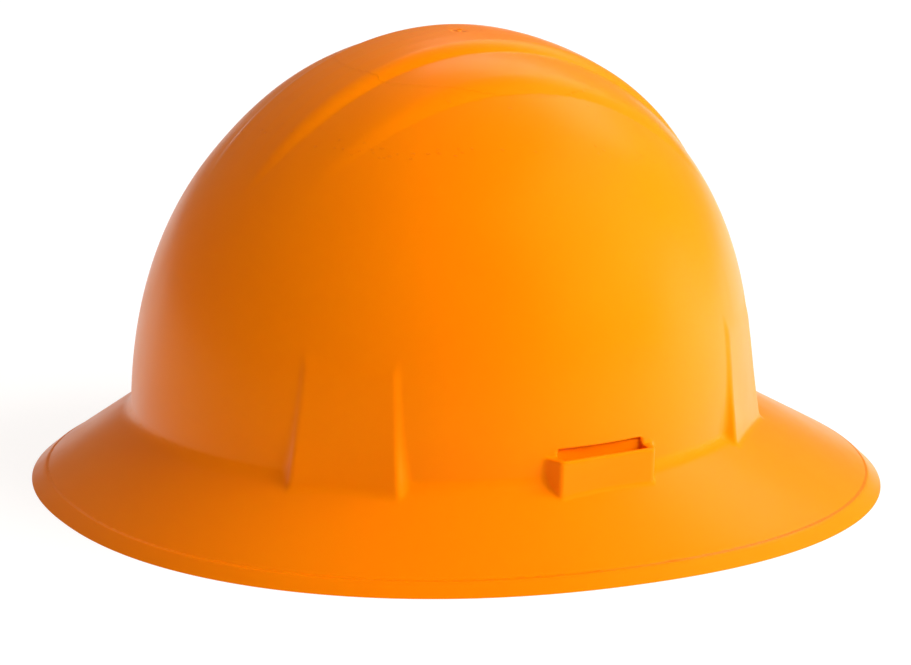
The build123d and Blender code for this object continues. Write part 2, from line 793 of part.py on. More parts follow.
def drive_gear():
    """The gear that drives both racks, with a hub for the knob."""
    start = housing_back_outer + housing_channel_gap
    end = channel_outer
    tooth_root = gear_tooth_share * math.tau * gear_pitch_radius / gear_teeth
    tip_half = tooth_root * gear_tip_share
    root_half = tooth_root * gear_foot_share
    profile = Polyline((-root_half, 0), (root_half, 0), (root_half, gear_root_radius),
                       (tip_half, gear_tip_radius), (-tip_half, gear_tip_radius),
                       (-root_half, gear_root_radius), close=True)
    blank = Circle(gear_root_radius)
    for k in range(gear_teeth):
        blank = blank + Rot(0, 0, 360 * k / gear_teeth) * make_face(profile)
    gear = Pos(0, end, 0) * Rot(90, 0, 0) * extrude(blank, end - start)
    hub = rear_pin(gear_hub_radius, end, knob_face - knob_wall - knob_gap)
    bore = rear_pin(screw_shank_radius, 0, knob_face - knob_wall)
    return gear + hub - bore


def ratchet_knob():
    """The knob: a grooved cup with a collar in the cover, a socketed hub and click teeth inside."""
    start = cover_outer + knob_gap
    radius = knob_diameter / 2
    cup = rear_pin(radius, start, knob_face)
    rim = cup.edges().filter_by(GeomType.CIRCLE).sort_by(Axis.Y)[-1]
    cup = fillet(rim, knob_round)
    bore = radius - knob_wall
    cavity_end = knob_face - knob_wall
    cup = cup - rear_pin(bore - knob_tooth_depth, start - overrun, cavity_end)
    for k in range(knob_grips):
        groove = rear_pin(knob_grip_radius, start - overrun, knob_face + overrun)
        place = radius + knob_grip_radius - knob_grip_depth
        cup = cup - Rot(0, 180 * (2 * k + 1) / knob_grips, 0) * Pos(place, 0, 0) * groove
    notch = rear_pin(knob_tooth_depth, start - overrun, start + knob_notch_reach)
    for k in range(knob_teeth):
        cup = cup - Rot(0, 360 * k / knob_teeth, 0) * Pos(bore - knob_tooth_depth, 0, 0) * notch
    hub = rear_pin(knob_hub_radius, channel_outer + housing_channel_gap, cavity_end)
    collar = rear_pin(knob_collar_radius, channel_outer + housing_channel_gap, start)
    body = cup + hub + collar
    return body - rear_pin(gear_hub_radius + knob_running_gap / 2, 0, cavity_end - knob_gap / 2)


def click_spring():
    """The click spring: a flat ring on the cover's posts with two fingers toward the knob's teeth."""
    start = cover_outer + click_gap
    end = start + click_thickness
    ring = rear_pin(click_ring_radius, start, end)
    reach = knob_diameter / 2 - knob_wall - knob_tooth_depth - click_gap
    finger = Box(2 * reach, click_thickness, click_finger_width)
    ring = ring + Pos(0, (start + end) / 2, 0) * finger
    ring = ring - rear_pin(click_ring_hole, start - overrun, end + overrun)
    for side in (-1, 1):
        post = rear_pin(click_post_radius + screw_running_gap / 2, start - overrun, end + overrun)
        ring = ring - Pos(0, 0, side * click_post_place) * post
    return ring


def knob_screw():
    """The screw that draws the gear into the knob from the inside of the nape."""
    head_start = housing_back_inner + screw_running_gap
    head_end = head_start + screw_head_thickness
    head = rear_pin(screw_head_radius, head_start, head_end)
    tip = knob_face - knob_wall - 2 * knob_gap
    shank = rear_pin(screw_shank_radius - knob_screw_gap, head_end, tip)
    socket = rear_pin(screw_shank_radius, 0, head_start + screw_head_thickness / 2)
    return head + shank - socket


def nape_pad():
    """The pad on the inside of the ratchet housing."""
    outer = housing_back_inner - pad_gap
    pad = sector(outer - nape_pad_thickness, outer, 90 - nape_pad_half_degrees, 90 + nape_pad_half_degrees,
                 -nape_pad_half_height, nape_pad_half_height)
    return fillet(pad.edges(), pad_round)


def build():
    """Every sub-part by its node's name, in place."""
    nape = nape_place()
    front_key = suspension_key(front_boss_degrees)
    rear_key = suspension_key(rear_boss_degrees)
    parts["shell"] = shell()
    parts["front_left_key"] = front_key
    parts["front_right_key"] = mirror(front_key, about=Plane.YZ)
    parts["rear_left_key"] = rear_key
    parts["rear_right_key"] = mirror(rear_key, about=Plane.YZ)
    parts["upper_crown_strap"] = crown_strap(strap_crown_height)
    lower = crown_strap(strap_crown_height - strap_thickness - strap_layer_gap)
    parts["lower_crown_strap"] = mirror(lower, about=Plane.YZ)
    parts["headband"] = headband()
    parts["brow_pad"] = brow_pad()
    parts["left_swing_stud"] = swing_stud(rack_inner_radius)
    parts["right_swing_stud"] = mirror(swing_stud(rack_mid_gap), about=Plane.YZ)
    parts["left_rack_strap"] = nape * rack_strap(rack_inner_radius, 1, 1)
    parts["right_rack_strap"] = nape * rack_strap(rack_mid_gap, -1, -1)
    parts["ratchet_housing"] = nape * ratchet_housing()
    parts["ratchet_cover"] = nape * ratchet_cover()
    parts["cover_screws"] = Compound([nape * screw for screw in cover_screws()])
    parts["drive_gear"] = nape * drive_gear()
    parts["ratchet_knob"] = nape * ratchet_knob()
    parts["click_spring"] = nape * click_spring()
    parts["knob_screw"] = nape * knob_screw()
    parts["nape_pad"] = nape * nape_pad()


def write():
    """One STEP file for each sub-part."""
    os.makedirs("parts", exist_ok=True)
    for name, solid in parts.items():
        export_step(solid, "parts/" + name + ".step")


build()
write()
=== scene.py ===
"""A full brim hard hat: moulded shell, strap suspension and ratchet headband.

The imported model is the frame. The shell, the crown straps and both pads are finer
pieces that stand for their nodes, and every other node keeps its shape and gets a finish.
"""
import logging
import math
from dataclasses import dataclass, field
from enum import Enum

import bmesh
import bpy
import numpy as np
from mathutils import Matrix, Vector


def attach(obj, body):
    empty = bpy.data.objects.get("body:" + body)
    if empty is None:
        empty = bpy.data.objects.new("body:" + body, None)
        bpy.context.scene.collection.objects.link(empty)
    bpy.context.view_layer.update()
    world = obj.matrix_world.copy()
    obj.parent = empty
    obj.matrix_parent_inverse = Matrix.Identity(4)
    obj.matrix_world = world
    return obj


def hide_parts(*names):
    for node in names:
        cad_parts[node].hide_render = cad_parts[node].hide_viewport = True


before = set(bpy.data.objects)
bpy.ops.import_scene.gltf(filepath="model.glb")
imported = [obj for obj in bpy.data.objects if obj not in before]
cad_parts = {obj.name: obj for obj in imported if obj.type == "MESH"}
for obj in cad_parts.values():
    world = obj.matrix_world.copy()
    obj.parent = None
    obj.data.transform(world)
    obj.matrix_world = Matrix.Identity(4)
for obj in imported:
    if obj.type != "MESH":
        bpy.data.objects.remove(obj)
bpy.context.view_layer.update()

log = logging.getLogger("hard_hat")
MM = 0.001
Array = np.ndarray
Colour = tuple[float, float, float]


class Side(Enum):
    """The two sides of the hat, by the sign of X."""

    LEFT = 1
    RIGHT = -1


def smooth_min(a: Array, b: Array, blend: float) -> Array:
    """The lower of two fields with a rounded meeting.

    Args:
        a: the first field.
        b: the second field.
        blend: the width of the rounding, in millimetres.

    Returns:
        The blended field.
    """
    share = np.clip(0.5 + 0.5 * (b - a) / blend, 0.0, 1.0)
    return b * (1 - share) + a * share - blend * share * (1 - share)


def smooth_max(a: Array, b: Array, blend: float) -> Array:
    """The higher of two fields with a rounded meeting, as smooth_min gives the lower."""
    return -smooth_min(-a, -b, blend)


def new_object(name: str, mesh: bpy.types.Mesh) -> bpy.types.Object:
    """Links a mesh to the scene under a name and returns its object."""
    piece = bpy.data.objects.new(name, mesh)
    bpy.context.scene.collection.objects.link(piece)
    return piece


def mesh_from(name: str, points: Array, faces: list[tuple[int, ...]]) -> bpy.types.Mesh:
    """A smooth shaded mesh from points in metres and faces of point numbers."""
    mesh = bpy.data.meshes.new(name)
    mesh.from_pydata([tuple(p) for p in points], [], faces)
    mesh.polygons.foreach_set("use_smooth", [True] * len(mesh.polygons))
    mesh.update()
    return mesh


class Nodes:
    """A short way to build a material's node tree."""

    def __init__(self, name: str) -> None:
        """Starts a material with one principled shader."""
        self.material = bpy.data.materials.new(name)
        self.material.use_nodes = True
        self.tree = self.material.node_tree
        self.shader = self.tree.nodes["Principled BSDF"]
        self.place = self.add("ShaderNodeTexCoord").outputs["Object"]

    def add(self, kind: str, **values: object) -> bpy.types.Node:
        """Adds a node.

        Args:
            kind: the node's type.
            values: properties by name, and inputs by their name with spaces as underscores.

        Returns:
            The node.
        """
        node = self.tree.nodes.new(kind)
        for key, value in values.items():
            if hasattr(node, key):
                setattr(node, key, value)
            else:
                self.join(value, node.inputs[key.replace("_", " ")])
        return node

    def join(self, value: object, socket: bpy.types.NodeSocket) -> None:
        """Links a socket to an input, or sets the input to a plain value."""
        if isinstance(value, bpy.types.NodeSocket):
            self.tree.links.new(value, socket)
        else:
            socket.default_value = value

    def set(self, **values: object) -> None:
        """Sets or links the principled shader's inputs by their names."""
        for key, value in values.items():
            self.join(value, self.shader.inputs[key.replace("_", " ")])

    def noise(self, scale: float, detail: float = 3.0, stretch: Colour = (1, 1, 1)) -> bpy.types.NodeSocket:
        """A noise texture in the object's own space, which can be stretched along its axes."""
        mapping = self.add("ShaderNodeMapping", Vector=self.place, Scale=stretch)
        place = mapping.outputs[0]
        return self.add("ShaderNodeTexNoise", Vector=place, Scale=scale, Detail=detail).outputs[0]

    def span(self, value: bpy.types.NodeSocket, low: float, high: float, to_low: float,
             to_high: float) -> bpy.types.NodeSocket:
        """Maps one range of a value to another, clamped."""
        node = self.add("ShaderNodeMapRange", Value=value)
        for name, number in (("From Min", low), ("From Max", high), ("To Min", to_low), ("To Max", to_high)):
            node.inputs[name].default_value = number
        return node.outputs[0]

    def mix(self, share: object, first: object, second: object) -> bpy.types.NodeSocket:
        """Mixes two colours by a share."""
        node = self.add("ShaderNodeMix", data_type="RGBA")
        self.join(share, node.inputs[0])
        self.join(first if isinstance(first, bpy.types.NodeSocket) else (*first, 1.0), node.inputs[6])
        self.join(second if isinstance(second, bpy.types.NodeSocket) else (*second, 1.0), node.inputs[7])
        return node.outputs[2]

    def maths(self, operation: str, *values: object) -> bpy.types.NodeSocket:
        """A maths node on sockets or numbers."""
        node = self.add("ShaderNodeMath", operation=operation)
        for socket, value in zip(node.inputs, values):
            self.join(value, socket)
        return node.outputs[0]

    def bump(self, height: bpy.types.NodeSocket, depth: float, strength: float = 1.0,
             below: bpy.types.NodeSocket | None = None) -> bpy.types.NodeSocket:
        """A bump of a depth in metres, over another one if given."""
        node = self.add("ShaderNodeBump", Height=height, Distance=depth, Strength=strength)
        if below is not None:
            self.join(below, node.inputs["Normal"])
        return node.outputs[0]


@dataclass(frozen=True)
class ShellPlastic:
    """Gloss moulded polyethylene, tinted right through."""

    colour: Colour = (0.98, 0.232, 0.0)
    deep: Colour = (0.95, 0.212, 0.0)
    sheen: Colour = (1.0, 0.74, 0.05)
    roughness: float = 0.30

    def make(self) -> bpy.types.Material:
        """Builds the material with its flow variation, fine peel and light rub marks."""
        n = Nodes("shell_plastic")
        cloud = n.span(n.noise(9.0, 2.0), 0.35, 0.7, 0.0, 1.0)
        n.set(Base_Color=n.mix(cloud, self.colour, self.deep))
        rub = n.span(n.noise(46.0, 5.0, (1.0, 1.6, 0.7)), 0.45, 0.75, 0.0, 0.06)
        n.set(Roughness=n.maths("ADD", rub, self.roughness))
        peel = n.bump(n.noise(330.0, 2.0), 0.00003, 0.25)
        peel = n.bump(n.noise(2100.0, 2.0), 0.000006, 0.3, peel)
        rim = n.add("ShaderNodeAttribute", attribute_name="rim").outputs["Fac"]
        n.set(Normal=n.bump(n.span(rim, 5.0, 5.9, 1.0, 0.0), 0.0004, 0.9, peel))
        n.set(IOR=1.5, Specular_IOR_Level=0.5, Subsurface_Weight=0.12, Subsurface_Scale=0.004)
        n.set(Specular_Tint=(*self.sheen, 1.0))
        n.set(Subsurface_Radius=(1.0, 0.35, 0.05))
        return n.material


@dataclass(frozen=True)
class MouldedPlastic:
    """Satin moulded plastic with a fine spark texture and paler rubbed edges."""

    name: str
    colour: Colour
    worn: Colour
    roughness: float
    grain: float = 0.00002

    def make(self) -> bpy.types.Material:
        """Builds the material."""
        n = Nodes(self.name)
        patch = n.span(n.noise(60.0, 4.0), 0.4, 0.75, 0.0, 0.55)
        edge = n.span(n.add("ShaderNodeNewGeometry").outputs["Pointiness"], 0.52, 0.6, 0.0, 0.5)
        n.set(Base_Color=n.mix(n.maths("MAXIMUM", patch, edge), self.colour, self.worn))
        n.set(Roughness=n.span(n.noise(160.0, 3.0), 0.3, 0.7, self.roughness - 0.06, self.roughness + 0.1))
        n.set(Normal=n.bump(n.noise(2600.0, 2.0), self.grain, 0.6), IOR=1.49)
        return n.material


@dataclass(frozen=True)
class Webbing:
    """Woven polyester tape. It reads the tape's own run, kept on the mesh as an attribute."""

    colour: Colour = (0.030, 0.031, 0.034)
    pale: Colour = (0.085, 0.087, 0.093)
    pitch: float = 0.0011

    def make(self) -> bpy.types.Material:
        """Builds the weave of ribs across the tape and finer threads along it."""
        n = Nodes("webbing")
        run = n.add("ShaderNodeAttribute", attribute_name="run").outputs["Vector"]
        parts = n.add("ShaderNodeSeparateXYZ", Vector=run)
        along = n.maths("MULTIPLY", parts.outputs[0], 2 * math.pi / self.pitch)
        across = n.maths("MULTIPLY", parts.outputs[1], 2 * math.pi / self.pitch)
        twill = n.maths("SINE", n.maths("ADD", along, across))
        cross = n.maths("SINE", n.maths("SUBTRACT", n.maths("MULTIPLY", across, 2.0), along))
        weave = n.maths("ADD", n.maths("MULTIPLY", twill, 0.6), n.maths("MULTIPLY", cross, 0.4))
        height = n.span(weave, -1.0, 1.0, 0.0, 1.0)
        fuzz = n.span(n.noise(900.0, 2.0), 0.35, 0.7, 0.0, 0.5)
        share = n.maths("MULTIPLY", height, n.maths("ADD", fuzz, 0.4))
        n.set(Base_Color=n.mix(share, self.colour, self.pale))
        n.set(Roughness=0.82, Sheen_Weight=0.25, Normal=n.bump(height, 0.0002, 0.8))
        return n.material


@dataclass(frozen=True)
class PadCloth:
    """Brushed knit over foam."""

    colour: Colour = (0.045, 0.046, 0.050)
    pale: Colour = (0.105, 0.107, 0.115)

    def make(self) -> bpy.types.Material:
        """Builds the knit with its stitches and soft pile."""
        n = Nodes("pad_cloth")
        cells = n.add("ShaderNodeTexVoronoi", Vector=n.place, Scale=900.0).outputs["Distance"]
        pile = n.span(n.noise(400.0, 3.0), 0.3, 0.7, 0.0, 1.0)
        knit = n.span(cells, 0.0, 0.6, 1.0, 0.0)
        n.set(Base_Color=n.mix(n.maths("MULTIPLY", knit, pile), self.colour, self.pale))
        n.set(Roughness=0.93, Sheen_Weight=0.4, Normal=n.bump(knit, 0.00025, 0.7))
        return n.material


@dataclass(frozen=True)
class PlatedSteel:
    """Zinc plated steel with fine turning marks."""

    name: str = "steel"
    colour: Colour = (0.62, 0.62, 0.64)
    dull: Colour = (0.48, 0.48, 0.47)

    def make(self) -> bpy.types.Material:
        """Builds the material."""
        n = Nodes(self.name)
        patch = n.span(n.noise(220.0, 4.0), 0.35, 0.7, 0.0, 1.0)
        n.set(Base_Color=n.mix(patch, self.colour, self.dull), Metallic=1.0)
        n.set(Roughness=n.span(n.noise(700.0, 3.0, (1.0, 8.0, 1.0)), 0.3, 0.7, 0.25, 0.42))
        n.set(Normal=n.bump(n.noise(1500.0, 2.0, (1.0, 9.0, 1.0)), 0.00001, 0.4))
        return n.material


@dataclass(frozen=True)
class BossPlace:
    """A flat boss on the dome's foot: its frame has U out along the normal and V along the face."""

    degrees: float
    half_width: float = 101.3
    half_length: float = 117.0
    centre_y: float = -8.2

    def frame(self) -> tuple[float, float, float, float, float]:
        """The normal's plan direction, the frame's origin and the distance to the dome's foot."""
        c, s = math.cos(math.radians(self.degrees)), math.sin(math.radians(self.degrees))
        reach = math.hypot(self.half_width * c, self.half_length * s)
        along = (self.half_length ** 2 - self.half_width ** 2) * s * c / reach
        return c, s, -s * along, self.centre_y + c * along, reach

    def local(self, x: Array, y: Array) -> tuple[Array, Array, float]:
        """Plan points in the boss's frame, and the distance to the dome's foot."""
        c, s, ox, oy, reach = self.frame()
        return (x - ox) * c + (y - oy) * s, (y - oy) * c - (x - ox) * s, reach


@dataclass
class HatShell:
    """The moulded shell as one smooth closed surface. All sizes are in millimetres."""

    wall: float = 2.4
    half_width: float = 101.3
    half_length: float = 117.0
    base: float = 28.3
    top: float = 166.1
    forward: float = 8.2
    top_back: float = 1.2
    plan_power: float = 1.918
    rise_power: float = 2.322
    brim_half_width: float = 136.9
    brim_half_length: float = 159.0
    brim_power: float = 2.16
    lip_inset: float = 5.3
    lip_height: float = 4.8
    lip_step: float = 0.5
    rib_height: float = 59.7
    rib_forward: float = 7.0
    rib_radius: float = 108.5
    rib_foot_half: float = 43.0
    boss_degrees: tuple[float, float] = (-37.5, 46.0)
    slot_degrees: float = 4.3
    voxel: float = 1.2
    finish: ShellPlastic = field(default_factory=ShellPlastic)

    def __post_init__(self) -> None:
        """Prepares the crown ribs' drop from their top line, by distance from the middle."""
        points = [(0.0, 0.0), (6.75, 0.175), (13.5, 0.7)]
        points += self.arc(points[-1], math.atan(2 * 0.7 / 13.5), (20.5, 4.4))
        points += self.arc(points[-1], math.radians(7.0), (36.5, 8.7))
        points += self.arc(points[-1], math.radians(23.0), (self.rib_foot_half, 13.9))
        xs = np.linspace(0.0, 60.0, 1201)
        drop = np.interp(xs, [p[0] for p in points], [p[1] for p in points])
        drop = np.where(xs > self.rib_foot_half, 13.9 + 2.05 * (xs - self.rib_foot_half), drop)
        kernel = np.exp(-0.5 * (np.arange(-60, 61) * 0.05 / 0.35) ** 2)
        both = np.concatenate([drop[:0:-1], drop, [drop[-1]] * 60])
        smooth = np.convolve(both, kernel / kernel.sum(), "same")
        self.rib_xs = xs
        self.rib_drop = smooth[len(xs) - 1:2 * len(xs) - 1]

    @staticmethod
    def arc(start: tuple[float, float], angle: float, end: tuple[float, float]) -> list[tuple[float, float]]:
        """Points of an arc that leaves its start at an angle and reaches its end."""
        chord = math.atan2(end[1] - start[1], end[0] - start[0])
        length = math.dist(start, end)
        points = []
        for k in range(1, 13):
            turn = (chord - angle) * k / 12
            reach = length * math.sin(turn) / math.sin(chord - angle)
            across, down = reach * math.cos(angle + turn), reach * math.sin(angle + turn)
            points.append((start[0] + across, start[1] + down))
        return points

    def dome(self, p: Array, inset: float) -> Array:
        """The dome's field, drawn in by an inset."""
        x, y, z = p.T
        rise = np.maximum((z - self.base) / (self.top - inset - self.base), 0.0)
        middle = self.top_back * np.minimum(rise, 1.0) ** 2 - self.forward
        share = np.hypot(x / (self.half_width - inset), (y - middle) / (self.half_length - inset))
        size = (share ** self.plan_power + rise ** self.rise_power) ** (1 / 2.1)
        return (size - 1) * self.half_width * 1.07

    def ribs(self, p: Array, inset: float) -> Array:
        """The crown ribs' field: three terraces turned about a cross axis."""
        x, y, z = p.T
        reach = np.hypot(y + self.rib_forward, z - self.rib_height)
        off = np.abs(x) + inset / 2
        drop = np.interp(off, self.rib_xs, self.rib_drop) + 3.0 * np.maximum(off - self.rib_xs[-1], 0.0)
        low = (self.rib_height - z) - 20.0
        return smooth_max(reach - (self.rib_radius - inset - drop), low, 2.0)

    def slope(self, x: Array, y: Array) -> Array:
        """The height of the brim's upper face over plan points."""
        power = self.brim_power
        inner = self.lip_inset + self.lip_step
        wide, long = self.brim_half_width - inner, self.brim_half_length - inner
        turn = np.arctan2(y / long, x / wide)

        def loop(share: Array, turn: Array) -> tuple[Array, Array]:
            """How far out plan points lie against the loop at a share, and their turn on it."""
            c, s = np.abs(np.cos(turn)), np.abs(np.sin(turn))
            reach = (c ** power + s ** power) ** (-1 / power)
            a = (1 - share) * wide * reach + share * self.half_width
            b = (1 - share) * long * reach + share * self.half_length
            u, v = x / a, (y + self.forward * share) / b
            return np.hypot(u, v) - 1, np.arctan2(v, u)

        share = np.full_like(x, 0.5)
        for _ in range(7):
            off, turn = loop(share, turn)
            probe, _turn = loop(share + 0.01, turn)
            change = np.where(np.abs(probe - off) < 1e-7, 1e-7, probe - off)
            share = np.clip(share - off * 0.01 / change, -0.6, 1.6)
        rise = self.lip_height + (self.base - self.lip_height) * np.maximum(share, 0.0)
        lip = self.lip_height * self.rim_inset(x, y) / self.lip_inset
        return smooth_min(rise, lip, 1.0)

    def rim_inset(self, x: Array, y: Array) -> Array:
        """How far inside the brim's edge plan points lie."""
        inset = np.full_like(x, self.lip_inset / 2)
        for _ in range(4):
            size = self.ring(x, y, inset)
            inset = inset - (size - 1) * 0.05 / (self.ring(x, y, inset + 0.05) - size)
        return inset

    def ring(self, x: Array, y: Array, inset: Array) -> Array:
        """How far out plan points lie against the brim's edge, drawn in by an inset; 1 is on it."""
        wide, long = self.brim_half_width - inset, self.brim_half_length - inset
        power = self.brim_power
        return (np.abs(x / wide) ** power + np.abs(y / long) ** power) ** (1 / power)

    def boss(self, p: Array, degrees: float, side: Side) -> Array:
        """A key boss's field: a leaning face that narrows upward, splayed flanks and a sloped shoulder."""
        u, v, reach = BossPlace(degrees).local(p[:, 0] * side.value, p[:, 1])
        rise = p[:, 2] - self.base
        lean, splay = math.tan(math.radians(8.5)), math.tan(math.radians(31.0))
        steep, narrowing = 0.66, 3.5 / 39.7
        plane = reach + 2.2 - lean * rise
        face = (u - plane) * 0.99
        head = (u - (reach + 2.2 - lean * 39.7 - steep * (rise - 39.7))) * 0.83
        flank = (np.abs(v) - (19.2 - narrowing * rise + (plane - u) * splay)) * 0.85
        return np.maximum(smooth_max(smooth_max(face, head, 1.5), flank, 1.3), reach - 14.0 - u)

    def slot_box(self, p: Array, side: Side) -> Array:
        """An accessory slot's box, with splayed ends."""
        u, v, reach = BossPlace(self.slot_degrees).local(p[:, 0] * side.value, p[:, 1])
        half = 24.0 - (u - reach + 2 * self.wall) * (24.0 - 19.7) / (2 * self.wall + 4.6)
        ends = (np.abs(v) - half) * 0.91
        body = smooth_max(u - (reach + 4.6), ends, 1.3)
        return np.maximum(smooth_max(body, p[:, 2] - 37.2, 1.0), reach - 9.0 - u)

    @staticmethod
    def block(p: Array, place: BossPlace, side: Side, out: tuple[float, float], half: float,
              levels: tuple[float, float], blend: float = 0.7) -> Array:
        """A box's field in a boss's frame, from its distances to the dome's foot, half width and heights."""
        u, v, reach = place.local(p[:, 0] * side.value, p[:, 1])
        depth = np.maximum(reach + out[0] - u, u - reach - out[1])
        level = np.maximum(levels[0] - p[:, 2], p[:, 2] - levels[1])
        return smooth_max(smooth_max(depth, np.abs(v) - half, blend), level, blend)

    def brim(self, p: Array, drop: float) -> Array:
        """The brim's field, filled below its upper face and lowered by a drop."""
        field_ = np.full(len(p), 60.0)
        near = p[:, 2] < 46.0
        q = p[near]
        upper = q[:, 2] - self.slope(q[:, 0], q[:, 1]) + drop
        field_[near] = np.maximum(upper * 0.79, q[:, 2] - self.base + drop)
        return field_

    @staticmethod
    def near(p: Array, degrees: float, side: Side) -> Array:
        """The numbers of the points close to a boss or a slot."""
        u, v, reach = BossPlace(degrees).local(p[:, 0] * side.value, p[:, 1])
        return np.nonzero((np.abs(v) < 30.0) & (u > reach - 20.0) & (p[:, 2] < 84.0))[0]

    def outside(self, p: Array) -> Array:
        """The field of the shell's outer form, filled."""
        z = p[:, 2]
        form = smooth_min(self.dome(p, 0.0), self.brim(p, 0.0), 3.2)
        form = smooth_min(form, self.ribs(p, 0.0), 0.8)
        for side in Side:
            for degrees in self.boss_degrees:
                at = self.near(p, degrees, side)
                form[at] = smooth_min(form[at], self.boss(p[at], degrees, side), 1.8)
            at = self.near(p, self.slot_degrees, side)
            form[at] = smooth_min(form[at], self.slot_box(p[at], side), 1.0)
        mark = np.hypot(p[:, 0], p[:, 1] + self.rib_forward)
        top = self.rib_height + self.rib_radius
        form = smooth_max(form, -np.maximum(mark - 2.5, top - 0.4 - z), 0.3)
        return smooth_min(form, np.maximum(mark - 0.8, z - top + 0.1), 0.3)

    def inside(self, p: Array) -> Array:
        """The field of the shell's hollow, filled."""
        form = smooth_min(self.dome(p, self.wall), self.ribs(p, self.wall), 2.0)
        return smooth_min(form, self.brim(p, self.wall * 1.2), 1.0)

    def shell_field(self, p: Array) -> Array:
        """The whole shell's field: below zero is plastic."""
        form = smooth_max(self.outside(p), -self.inside(p), 0.8)
        slot = BossPlace(self.slot_degrees)
        for side in Side:
            for degrees in self.boss_degrees:
                at = self.near(p, degrees, side)
                q, part, place = p[at], form[at], BossPlace(degrees)
                part = smooth_min(part, self.block(q, place, side, (-7.5, -2.65), 18.2, (27.0, 50.2)), 0.6)
                pocket = self.block(q, place, side, (-5.3, -2.3), 16.0, (23.4, 48.0))
                form[at] = smooth_max(part, -pocket, 0.6)
            at = self.near(p, self.slot_degrees, side)
            q, part = p[at], form[at]
            part = smooth_min(part, self.block(q, slot, side, (-4.6, -2.2), 19.6, (24.3, 41.5)), 0.6)
            form[at] = smooth_max(part, -self.block(q, slot, side, (-2.7, 2.7), 17.7, (26.2, 39.6), 0.8), 0.7)
        return form

    def gradient(self, p: Array) -> tuple[Array, Array]:
        """The field and its slope at points."""
        here = self.shell_field(p)
        step = 0.02
        slope = np.empty_like(p)
        for axis in range(3):
            moved = p.copy()
            moved[:, axis] += step
            slope[:, axis] = (self.shell_field(moved) - here) / step
        return here, slope

    def settle(self, p: Array, rounds: int) -> Array:
        """Moves points onto the surface along the field's slope."""
        for _ in range(rounds):
            here, slope = self.gradient(p)
            steep = np.maximum((slope ** 2).sum(1), 0.05)
            p = p - slope * np.clip(here / steep, -0.9, 0.9)[:, None]
        return p

    def lengthen(self, mesh: bpy.types.Mesh) -> None:
        """Draws the lip on below the floor along its own slope, so that trimming leaves a clean edge."""
        flat = np.empty(len(mesh.vertices) * 3, np.float32)
        mesh.vertices.foreach_get("co", flat)
        points = flat.reshape(-1, 3).astype(float) / MM
        low = np.nonzero(points[:, 2] < 0.01)[0]
        inset = self.rim_inset(points[low, 0], points[low, 1])
        wider = inset - 4.0 * self.lip_inset / self.lip_height
        points[low, :2] /= self.ring(points[low, 0], points[low, 1], wider)[:, None]
        points[low, 2] -= 4.0
        mesh.vertices.foreach_set("co", (points * MM).astype(np.float32).ravel())
        mesh.update()

    @staticmethod
    def trim(mesh: bpy.types.Mesh) -> None:
        """Cuts the mesh off at the floor and closes the lip's flat lower edge."""
        form = bmesh.new()
        form.from_mesh(mesh)
        every = form.verts[:] + form.edges[:] + form.faces[:]
        bmesh.ops.bisect_plane(form, geom=every, plane_co=(0, 0, 0), plane_no=(0, 0, -1),
                               clear_outer=True, dist=1e-7)
        bmesh.ops.bridge_loops(form, edges=[e for e in form.edges if e.is_boundary])
        bmesh.ops.recalc_face_normals(form, faces=form.faces)
        form.to_mesh(mesh)
        form.free()

    def build(self) -> bpy.types.Object:
        """Makes the shell from the node's own form, remeshed evenly and settled on the fields."""
        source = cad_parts["shell"]
        piece = new_object("hat_shell", source.data.copy())
        piece.data.materials.clear()
        self.lengthen(piece.data)
        remesh = piece.modifiers.new("even", "REMESH")
        remesh.mode = "VOXEL"
        remesh.voxel_size = self.voxel * MM
        mesh = bpy.data.meshes.new_from_object(piece.evaluated_get(bpy.context.evaluated_depsgraph_get()))
        piece.modifiers.clear()
        piece.data = mesh
        count = len(mesh.vertices)
        flat = np.empty(count * 3, np.float32)
        mesh.vertices.foreach_get("co", flat)
        points = flat.reshape(-1, 3).astype(float) / MM
        pairs = np.empty(len(mesh.edges) * 2, np.int32)
        mesh.edges.foreach_get("vertices", pairs)
        pairs = pairs.reshape(-1, 2)
        points = self.settle(points, 3)
        for _ in range(3):
            total = np.zeros_like(points)
            uses = np.zeros(count)
            for a, b in ((0, 1), (1, 0)):
                np.add.at(total, pairs[:, a], points[pairs[:, b]])
                np.add.at(uses, pairs[:, a], 1)
            pull = total / np.maximum(uses, 1)[:, None] - points
            _here, slope = self.gradient(points)
            normal = slope / np.maximum(np.linalg.norm(slope, axis=1), 1e-6)[:, None]
            pull -= normal * (pull * normal).sum(1)[:, None]
            points = self.settle(points + 0.6 * pull, 1)
        points = self.settle(points, 2)
        mesh.vertices.foreach_set("co", (points * MM).astype(np.float32).ravel())
        self.trim(mesh)
        count = len(mesh.vertices)
        flat = np.empty(count * 3, np.float32)
        mesh.vertices.foreach_get("co", flat)
        points = flat.reshape(-1, 3).astype(float) / MM
        _here, slope = self.gradient(points)
        normal = slope / np.maximum(np.linalg.norm(slope, axis=1), 1e-6)[:, None]
        inset = np.clip(self.rim_inset(points[:, 0], points[:, 1]), 0.0, 12.0)
        rim = mesh.attributes.new("rim", "FLOAT", "POINT")
        rim.data.foreach_set("value", np.where(self.outside(points) > -0.7, inset, 12.0).astype(np.float32))
        corners = np.empty(len(mesh.loops), np.int32)
        mesh.loops.foreach_get("vertex_index", corners)
        turned = normal[corners]
        faces = np.empty(len(mesh.polygons) * 3, np.float32)
        mesh.polygons.foreach_get("normal", faces)
        sizes = np.empty(len(mesh.polygons), np.int32)
        mesh.polygons.foreach_get("loop_total", sizes)
        under = np.repeat(faces.reshape(-1, 3)[:, 2] < -0.999, sizes) & (points[corners, 2] < 0.01)
        turned[under] = (0.0, 0.0, -1.0)
        mesh.polygons.foreach_set("use_smooth", [True] * len(mesh.polygons))
        mesh.normals_split_custom_set([tuple(v) for v in turned])
